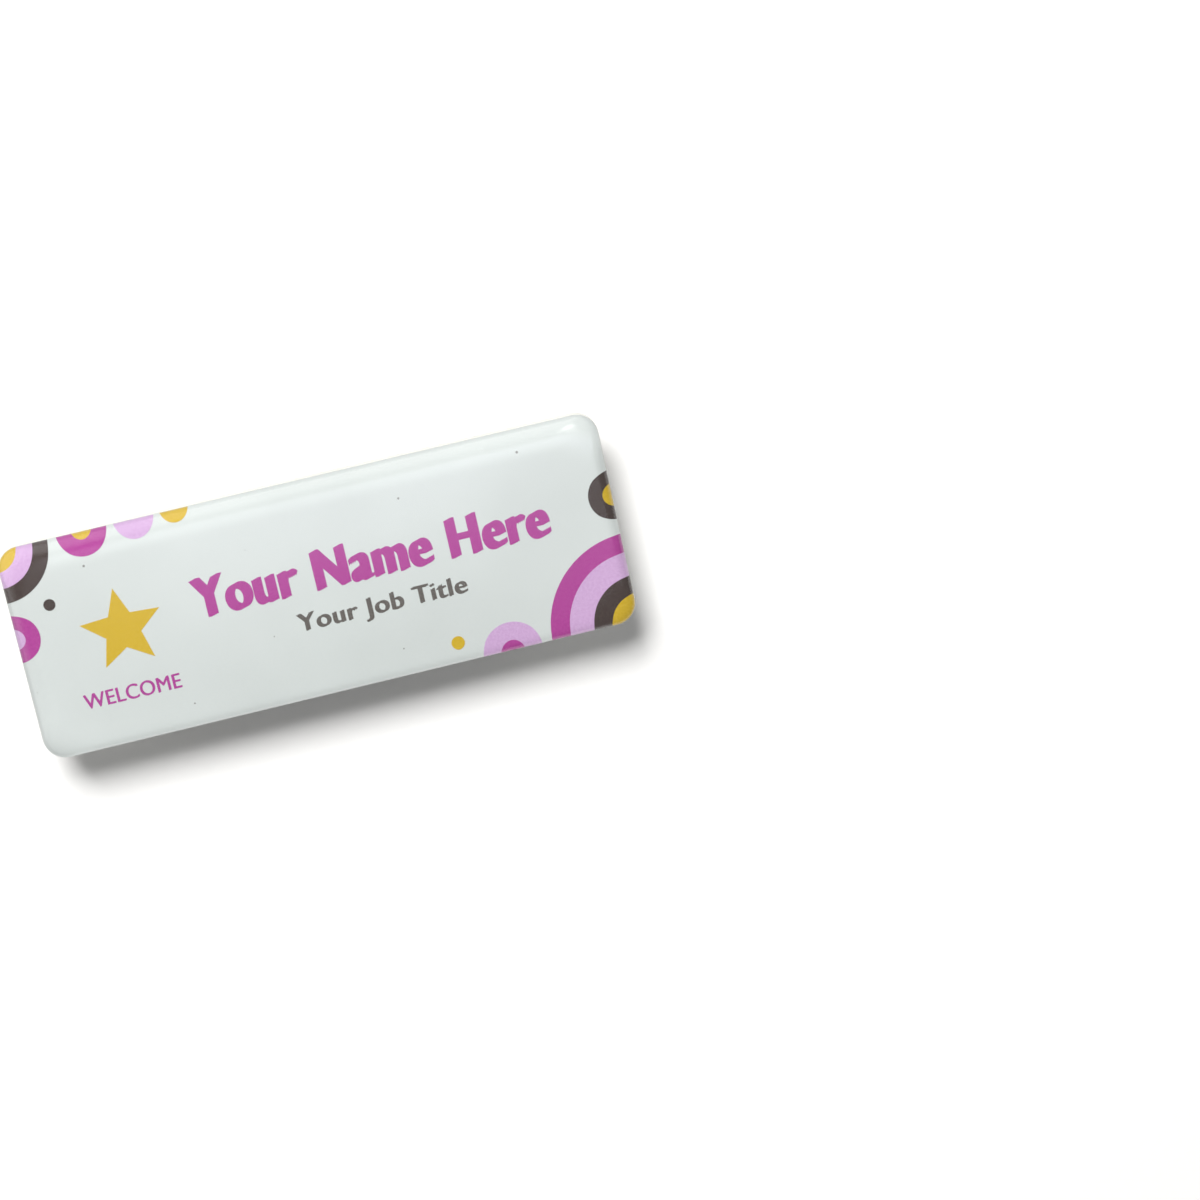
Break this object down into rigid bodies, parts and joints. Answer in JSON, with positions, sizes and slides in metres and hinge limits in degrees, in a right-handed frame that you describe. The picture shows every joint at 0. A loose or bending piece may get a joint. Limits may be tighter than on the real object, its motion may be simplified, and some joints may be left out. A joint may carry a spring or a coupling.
{
  "type": "name badge with magnetic fitting",
  "caption": "Oblong printed name badge under a clear resin dome, with rounded corners and a magnet bar that clamps it to clothing from behind.",
  "frame": {"origin": "middle of the magnet bar's outer face, which the badge rests on, on the centre lines of its length and width", "axes": "+X along the badge's length, to the right as its print is read; +Y to the top of the print; +Z out of the printed face"},
  "size_m": [0.072, 0.026, 0.0102],
  "materials": {
    "clear_resin": "clear cast polyurethane, high gloss",
    "printed_vinyl": "white print film with magenta, lilac, gold and charcoal inks",
    "white_abs": "satin white sheet, lightly scuffed",
    "adhesive_foam": "matt grey closed-cell foam tape",
    "plated_steel": "bright nickel plating",
    "black_abs": "moulded black plastic with a soft sheen",
    "plated_magnet": "bright nickel plating"
  },
  "bodies": {
    "magnet_side": {"magnet_bar": "black_abs", "magnet_1": "plated_magnet", "magnet_2": "plated_magnet", "magnet_3": "plated_magnet"},
    "badge_side": {"dome": "clear_resin", "printed_face": "printed_vinyl", "base_plate": "white_abs", "foam_pad": "adhesive_foam", "steel_plate": "plated_steel"}
  },
  "joints": [
    {"name": "badge_lift", "type": "slide", "parent": "magnet_side", "child": "badge_side", "axis": [0, 0, 1], "range_m": [0, 0.012]}
  ]
}
